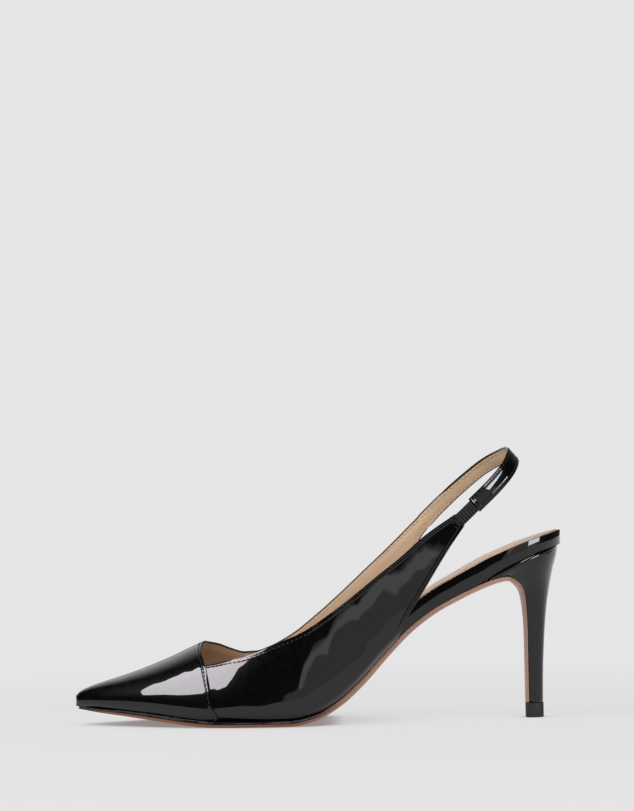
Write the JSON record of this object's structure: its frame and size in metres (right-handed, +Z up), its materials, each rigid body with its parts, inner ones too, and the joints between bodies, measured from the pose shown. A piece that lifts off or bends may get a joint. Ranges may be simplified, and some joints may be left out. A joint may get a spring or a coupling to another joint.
{
  "type": "slingback pump",
  "caption": "Left slingback pump with a pointed toe, a slim high heel, open sides and an elastic strap behind the heel.",
  "frame": {"origin": "middle of the shoe's length and width, on the floor that it stands on", "axes": "+X from the toe to the heel, +Y to the inner (medial) side of this left shoe, +Z up"},
  "size_m": [0.2416, 0.076, 0.1339],
  "materials": {
    "black_patent": "patent gloss",
    "black_elastic": "ribbed matte",
    "tan_leather": "smooth matte",
    "sole_leather": "smooth satin",
    "heel_black": "covered in patent gloss",
    "lift_rubber": "matte"
  },
  "bodies": {
    "root": {"upper": "black_patent", "sling_strap": "black_patent", "elastic": "black_elastic", "insole_board": "black_patent", "sock": "tan_leather", "outsole": "sole_leather", "heel": "heel_black", "top_lift": "lift_rubber"}
  },
  "joints": []
}
